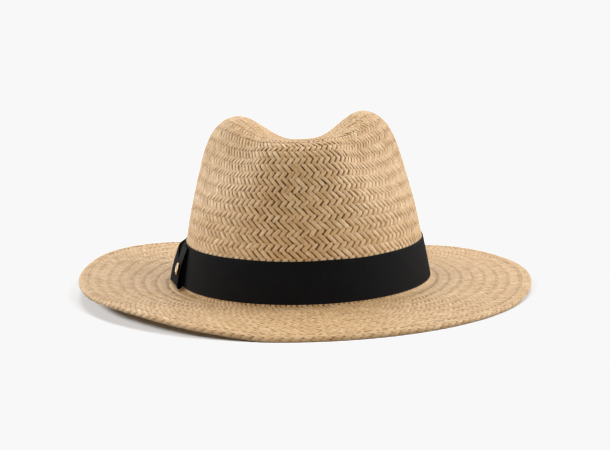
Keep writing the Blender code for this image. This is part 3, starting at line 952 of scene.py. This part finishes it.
def selvedge(across, width):
    """The raised edges of a woven ribbon, thinning at the very rim."""
    near = np.minimum(across, width - across)
    raised = smooth(near, 0, 0.3 * MM) * (1 - smooth(near, 0.9 * MM, 1.5 * MM))
    return 0.05 * MM * raised - 0.1 * MM * (1 - smooth(near, 0, 0.3 * MM))


def skin(along, across, face, ribs=0.6):
    """Selvedges and ribs, raised out of both faces of a ribbon."""
    return (2 * face - 1) * (selvedge(across, BAND_WIDTH) + ribs * rib(along))


def ribbon(name, node, along, across, place):
    """A piece of the black ribbon that stands for a CAD node."""
    return cloth(name, along, across, place, RIBBON_LOOK, "black_ribbon", (node,))


def hat_band():
    length = 2 * pi * FOOT_RADIUS - JOINT
    drift = rng.normal(0, 1, 24)

    def place(along, across, face):
        angle = BOW_ANGLE + (along + JOINT / 2) / FOOT_RADIUS
        share = across / BAND_WIDTH
        sway = through(drift, (along / length * len(drift)) % len(drift))
        ribbed = (across > PLAIN_EDGE) & (across < BAND_WIDTH - PLAIN_EDGE)
        out = BAND_OUT + RIBBON * face + skin(along, across, face, ribbed)
        out = out + 0.10 * MM + 0.10 * MM * sway * (share - 0.5)
        return by_wall(angle, out, BAND_BOTTOM + across + 0.12 * MM * sway * share)

    made = ribbon("ribbon_band", "hat_band", columns(length), ribbon_rows(BAND_WIDTH), place)


def gathered(share, v, full):
    """Height of a bow ribbon, gathered inside the knot and spread beyond it."""
    spread = smooth(share, 0.12, 0.6)
    low = BAND_BOTTOM + (0.6 - 1.4 * spread) * MM
    high = BAND_BOTTOM + BAND_WIDTH * (GATHER + (full - GATHER) * spread)
    return low + (high - low) * v


def pleats(share, v, depth):
    """Folds of a ribbon where the knot gathers it, fading along it."""
    return depth * (1 - smooth(share, 0.1, 0.75)) * np.cos(2 * pi * 3 * v)


def bow_tail():
    length = TAIL_SWEEP * FOOT_RADIUS

    def place(along, across, face):
        u = along / length
        v = across / BAND_WIDTH
        angle = BOW_START - u * TAIL_SWEEP * (1 - 0.16 * v)
        out = TAIL_OUT - RIBBON * (1 - face) + skin(along, across, face)
        out = out + pleats(u, v, 0.3 * MM) + 0.15 * MM * np.sin(5 * u + 2 * v)
        return by_wall(angle, out, gathered(u, v, TAIL_FULL))

    made = ribbon("bow_tail_ribbon", "bow_tail", columns(length), ribbon_rows(BAND_WIDTH), place)


def thickened(along, length, a, b, thick):
    """The two coordinates of points at distances along a flat line, moved a thickness off it."""
    across, down = np.gradient(a), np.gradient(b)
    size = np.hypot(across, down)
    first = np.interp(along, length, a) + np.interp(along, length, down / size) * thick
    return first, np.interp(along, length, b) - np.interp(along, length, across / size) * thick


def loop_line():
    """The loop's inner face from one end round to the other: distance along it, share of the way
    round to the rear, distance out, and how much further its full lower part stands out."""
    inner = LOOP_OUT + RIBBON
    along = np.linspace(0, 1, 240)
    bend = np.linspace(0, pi, 16)
    rear = smooth(along[::-1], 0.26, 0.58)
    open_by = GAP + (2 * TURN_RADIUS - GAP) * rear
    reach = FOOT_RADIUS * LOOP_SWEEP
    turning = inner + TURN_RADIUS * (1 - np.cos(bend))
    share = np.concatenate([along[:-1], 1 + TURN_RADIUS * np.sin(bend) / reach, along[::-1][1:]])
    out = np.concatenate([np.full(len(along) - 1, inner), turning, inner + open_by[1:]])
    outer = 2 * LOOP_FULLNESS * rear * along
    fullness = np.concatenate([np.zeros(len(out) - len(outer) + 1), outer[1:]])
    return length_along(share * reach, out + fullness), share, out, fullness


def bow_loop():
    length, share, out, fullness = loop_line()
    reach = FOOT_RADIUS * LOOP_SWEEP

    def place(along, across, face):
        v = across / BAND_WIDTH
        thick = RIBBON * face + skin(along, across, face)
        here, away = thickened(along, length, share * reach, out, thick)
        here = here / reach
        waves = 0.25 * MM * np.sin(3 * v + 4 * here) * smooth(here, 0.3, 0.6)
        away = away + pleats(here, v, 0.2 * MM) + waves
        away = away + np.interp(along, length, fullness) * (1 - v**3)
        return by_wall(BOW_START - here * LOOP_SWEEP, away, gathered(here, v, LOOP_FULL))

    rows = ribbon_rows(BAND_WIDTH)
    made = ribbon("bow_loop_ribbon", "bow_loop", columns(length[-1]), rows, place)


def knot_front(share):
    """Inner face of the knot's front at a share of its height: flat at the top, full at the bottom."""
    return KNOT_TOP + (KNOT_FULL - KNOT_TOP) * (1 - share * share)


def knot_line():
    """Inner line of the strap, closed: up behind the ribbons, over the top and down in front."""
    tall = KNOT_HIGH - KNOT_LOW
    back = KNOT_OUT + RIBBON
    rise = np.linspace(0, 1, 12)
    fall = np.linspace(1, 0, 24)
    crest = [(back + KNOT_TOP) / 2]
    out = np.concatenate([np.full(12, back), crest, knot_front(fall), [KNOT_FULL - 1.0 * MM, back]])
    height = np.concatenate([tall * rise, [tall + 0.3 * MM], tall * fall, [-0.3 * MM, 0]]) + KNOT_LOW
    length = length_along(out, height)
    even = np.linspace(0, length[-1], KNOT_CUTS)
    soft = np.array([1, 2, 3, 2, 1]) / 9
    rounded = []
    for part in (np.interp(even, length, out), np.interp(even, length, height)):
        closed = np.concatenate([part[-3:-1], part, part[1:3]])
        rounded.append(np.convolve(closed, soft, "valid"))
    return even, *rounded


def bow_knot():
    length, out, height = knot_line()
    width = KNOT_SWEEP * FOOT_RADIUS * 1.05

    def place(along, across, face):
        v = across / width
        in_front = smooth(np.interp(along, length, out), KNOT_TOP, KNOT_FULL)
        folds = 0.28 * MM * in_front * np.cos(2 * pi * 2.5 * v + 0.6)
        roll = -0.8 * MM * in_front * (2 * v - 1) ** 4
        thick = RIBBON * face + (2 * face - 1) * selvedge(across, width) * 0.6 + folds + roll
        away, high = thickened(along, length, out, height, thick)
        waist = 1 - 0.10 * np.sin(pi * np.clip((high - BAND_BOTTOM) / BAND_WIDTH, 0, 1))
        return by_wall(BOW_ANGLE + (v - 0.5) * KNOT_SWEEP * waist, away, high)

    along = np.linspace(0, length[-1], KNOT_CUTS)
    made = ribbon("bow_knot_strap", "bow_knot", along, np.linspace(0, width, 25), place)


# ---------------------------------------------------------------- metal

TURNED_STEPS = 72


def turned(name, node, profile, place, look, slot):
    """A closed profile of (radius, height) turned round the Z axis of a frame."""
    radius, height = np.array(profile).T
    turn = np.linspace(0, 2 * pi, TURNED_STEPS, endpoint=False)[:, None]
    parts = np.broadcast_arrays(radius * np.cos(turn), radius * np.sin(turn), height)
    spin = np.array(place.to_3x3())
    points = np.stack(parts, axis=-1) @ spin.T + np.array(place.translation)
    index = np.arange(TURNED_STEPS * len(profile)).reshape(TURNED_STEPS, len(profile))
    beside = np.roll(index, -1, axis=0)
    quads = np.stack([index[:, :-1], beside[:, :-1], beside[:, 1:], index[:, 1:]], axis=-1)
    piece(name, points, quads, look, slot, (node,), sharp=35)


def stud_frame():
    """Z points out of the knot's outer face, where the stud sits."""

    def face(angle, share):
        height = KNOT_LOW + (KNOT_HIGH - KNOT_LOW) * share
        return Vector(by_wall(BOW_ANGLE + angle, knot_front(share) + RIBBON, height))

    here = face(0, STUD_SHARE)
    across = face(0.01, STUD_SHARE) - here
    upward = face(0, STUD_SHARE + 0.01) - here
    outward = across.cross(upward).normalized()
    return Matrix.Translation(here) @ outward.to_track_quat("Z", "Y").to_matrix().to_4x4()


def stud():
    """A plain gold stud: a rolled rim round a slightly hollow, brushed face."""
    top = GAP + STUD_THICK
    floor = top - 0.42 * MM
    near = 0.02 * MM
    profile = [(near, floor)]
    for share in np.linspace(0.08, 1, 24):
        ripple = 0.012 * MM * cos(share * 2 * pi * 12)
        profile.append((share * (STUD_RADIUS - 1.2 * MM), floor + 0.10 * MM * share**2 + ripple))
    rim = 0.55 * MM
    for bend in np.linspace(pi * 0.95, -0.5 * pi, 16):
        profile.append((STUD_RADIUS - rim + rim * cos(bend), top - rim + rim * sin(bend)))
    base = GAP + 0.1 * MM
    end = -RIBBON - 2 * GAP
    profile += [(STUD_RADIUS - rim, base), (POST_RADIUS + 0.3 * MM, base)]
    profile += [(POST_RADIUS, base - 0.3 * MM), (POST_RADIUS, end), (near, end)]
    turned("stud_cap", "stud", profile, stud_frame(), GOLD_LOOK, "gold_metal")


# ---------------------------------------------------------------- inside

SWEAT_SEAM = 2.5 * MM  # height of the seam above the sweatband's lower edge
HEM_SEAM = 6.5 * MM  # distance of the seam from the block's rim
TACK_HALF = 1.5 * MM


def inner_rows(width, count=10):
    edge = np.array([0, 0.15, 0.5, 1.0]) * MM
    return np.concatenate([edge, np.linspace(2 * MM, width - 2 * MM, count), width - edge[::-1]])


def hem_edge(across, width, fold):
    """Turned and stitched edges of a tape, a little thicker than its middle, rounded at the rim."""
    near = np.minimum(across, width - across)
    return fold * (1 - smooth(near, 2.2 * MM, 3.2 * MM)) - 0.22 * MM * (1 - smooth(near, 0, 0.5 * MM))


def sweatband():
    length = 2 * pi * FOOT_RADIUS - JOINT
    drift = rng.normal(0, 1, 36)

    def place(along, across, face):
        angle = BACK + (along + JOINT / 2) / FOOT_RADIUS
        sway = through(drift, (along / length * len(drift)) % len(drift))
        edge = (2 * face - 1) * hem_edge(across, SWEAT_WIDTH, 0.10 * MM)
        puff = 0.15 * MM * np.sin(pi * across / SWEAT_WIDTH) * (1 + 0.5 * sway)
        out = SWEAT_OUT - 0.10 * MM - (SWEATBAND - 0.2 * MM) * face - edge - puff
        return by_wall(angle, out, SWEAT_BOTTOM + across)

    along = np.linspace(0, length, 361)
    rows = inner_rows(SWEAT_WIDTH)
    made = cloth("sweatband_cloth", along, rows, place, SWEAT_LOOK, "sweatband_cotton", ("sweatband",))


def running_stitches(start, count, rise, dip, share=0.72):
    """Angles and heights of a running stitch all round the hat: each stitch arches out of the cloth
    and dips in at its ends."""
    t = np.linspace(0, 1, 9)
    angle = start + 2 * pi / count * (np.arange(count)[:, None] + share * t)
    return angle, rise * (1 - (2 * t - 1) ** 6) - dip * (2 * t - 1) ** 6


def sweatband_stitches():
    """The thread that holds the sweatband to the straw, near its lower edge."""
    angle, arch = running_stitches(BACK + STEP, 170, 0.22 * MM, 0.35 * MM)
    lines = by_wall(angle, SWEAT_FACE - 0.05 * MM - arch, SWEAT_BOTTOM + SWEAT_SEAM)
    threads("sweatband_stitches", lines, THREAD_LOOK, "tan_thread", ("sweatband_thread",))


def hem_stitches():
    """The thread that closes the hem, sunk a little in the straw."""
    angle, arch = running_stitches(BACK, 236, 0.10 * MM, 0.75 * MM, 0.62)
    lines = blocked(angle, BRIM_RADIUS - HEM_SEAM, BRIM_LEVEL - 0.06 * MM + arch)
    threads("hem_stitches", lines, HEM_THREAD_LOOK, "tan_thread", ("hem_thread",), 0.85 * THREAD)


def tack(name, angle, out, height, look, slot):
    """A few turns of thread across a seam, standing for one bar of thread."""
    t = np.linspace(-1, 1, 9)
    arch = 0.05 * MM - 0.45 * MM * t**6
    towards = -1 if out < 0 else 1
    lines = []
    for shift, slant in ((-0.42, 1), (0.0, -1), (0.42, 1)):
        level = height + shift * MM + 0.12 * MM * t * slant
        lines.append(by_wall(angle + TACK_HALF * t / FOOT_RADIUS, out + towards * arch, level))
    threads(f"{name}_threads", lines, look, slot, (name,))


def band_tacks():
    out = BAND_OUT + LAYER + 0.1 * MM
    for number, eighth in enumerate((1, 3, 4, 5), 1):
        angle = eighth * 2 * pi / 8
        tack(f"band_tack_{number}", angle, out, BAND_TOP - 2 * MM, BLACK_THREAD_LOOK, "black_thread")


def inside_patch(name, centre, width, low, high, look, slot, fold):
    """A small flat cloth laid on the sweatband."""
    out = SWEAT_FACE - GAP - FACET
    tall = high - low

    def place(along, across, face):
        angle = centre + (along - width / 2) / FOOT_RADIUS
        edge = (2 * face - 1) * (hem_edge(across, tall, fold) + hem_edge(along, width, 0))
        buckle = 0.12 * MM * np.sin(along / width * 5) * np.sin(across / tall * 4 + 1)
        away = out - (LABEL - 0.05 * MM) * face - edge * 0.6 - buckle * 0.5
        return by_wall(angle, away, low + across)

    made = cloth(f"{name}_cloth", inner_rows(width, 14), inner_rows(tall, 12), place, look, slot, (name,))


def seam_tape():
    low = SWEAT_BOTTOM + 4 * MM
    high = SWEAT_BOTTOM + SWEAT_WIDTH - 1 * MM
    slot = "sweatband_cotton"
    inside_patch("sweatband_seam_tape", BACK, 10 * MM, low, high, TAPE_LOOK, slot, 0.05 * MM)


def size_label():
    centre = BACK - 3 * STEP
    width, tall = 18 * MM, 11 * MM
    low = SWEAT_BOTTOM + 11 * MM
    inside_patch("size_label", centre, width, low, low + tall, LABEL_LOOK, "label_cloth", 0.04 * MM)
    out = SWEAT_FACE - 2 * GAP - FACET - LABEL - 0.5 * THREAD
    for number, side in enumerate((-1, 1), 1):
        angle = centre + side * (width / 2 - 2.5 * MM) / FOOT_RADIUS
        tack(f"size_label_stitch_{number}", angle, out, low + tall / 2, THREAD_LOOK, "tan_thread")


def care_label():
    """A label sewn by its top edge, hanging free and curling a little away from the sweatband."""
    angle = BACK + 3.5 * STEP
    width, drop = 20 * MM, 21 * MM
    sag = width * width / (8 * FOOT_RADIUS)
    out = SWEAT_FACE - GAP - FACET - sag
    top = SWEAT_BOTTOM + SWEAT_WIDTH - 2 * MM
    head = Vector(by_wall(angle, out, top))
    across = (Vector(by_wall(angle + 0.01, out, top)) - Vector(by_wall(angle - 0.01, out, top))).normalized()
    turn = np.array(Matrix((across, Vector((0, 0, 1)).cross(across), (0, 0, 1))).transposed())

    def local(x, y, z):
        return np.stack(np.broadcast_arrays(x, y, z), axis=-1) @ turn.T + np.array(head)

    def place(along, down, face):
        edge = hem_edge(along, width, 0) * 0.5 + 0.05 * MM * (down < 3 * MM)
        curl = 0.5 * MM * (down / drop) ** 2 * (0.6 + 0.4 * np.cos(2 * pi * along / width))
        y = (LABEL - 0.06 * MM) * face + (2 * face - 1) * edge + curl
        return local(along - width / 2, y, -down)

    along, down = inner_rows(width, 12), inner_rows(drop, 16)
    replaced = ("care_label",)
    made = cloth("care_label_cloth", along, down, place, LABEL_LOOK, "label_cloth", replaced, LABEL_BODY)
    half = width / 2 - 2 * MM
    marks = np.linspace(-half, half, 8)
    t = np.linspace(0, 1, 7)
    stitch = 0.7 * (marks[1] - marks[0])
    arch = 2 * GAP + THREAD - 0.06 * MM * (2 * t - 1) ** 4
    lines = local(marks[:, None] + stitch * (t - 0.5), 0.0, arch)
    threads("care_label_stitches", lines, THREAD_LOOK, "tan_thread", ("care_label_stitch",))


# ---------------------------------------------------------------- everything

studio_camera()
FLOOR = studio_floor()

STRAW_LOOK = straw_look()
FILM_LOOK = film_look()
RIBBON_LOOK = ribbon_look("grosgrain", (0.0042, 0.0042, 0.0046))
SWEAT_LOOK = twill_look("sweatband_twill", (0.50, 0.38, 0.25))
TAPE_LOOK = twill_look("tape_twill", (0.44, 0.33, 0.21), pitch=0.6)
LABEL_LOOK = twill_look("label_satin", (0.75, 0.73, 0.68), pitch=0.4)
THREAD_LOOK = thread_look("tan_thread", (0.45, 0.30, 0.16))
HEM_THREAD_LOOK = thread_look("hem_thread", (0.46, 0.31, 0.16))
BLACK_THREAD_LOOK = thread_look("black_thread", (0.006, 0.006, 0.0065), 0.05)
GOLD_LOOK = metal_look("brushed_gold", (0.72, 0.55, 0.34), 900.0)
STEEL_LOOK = metal_look("spring_steel", (0.45, 0.45, 0.46), 1200.0)

crown_weave()
brim_weave()
gap_shade_film()
crown_button()
hat_band()
bow_tail()
bow_loop()
bow_knot()
stud()
sweatband()
sweatband_stitches()
hem_stitches()
band_tacks()
seam_tape()
size_label()
care_label()
for node, look in (("brim_wire", STEEL_LOOK), ("wire_joiner", STEEL_LOOK), ("stud_washer", GOLD_LOOK)):
    NODES[node].material_slots[0].material = look

studio_lights(FLOOR)
white_background()
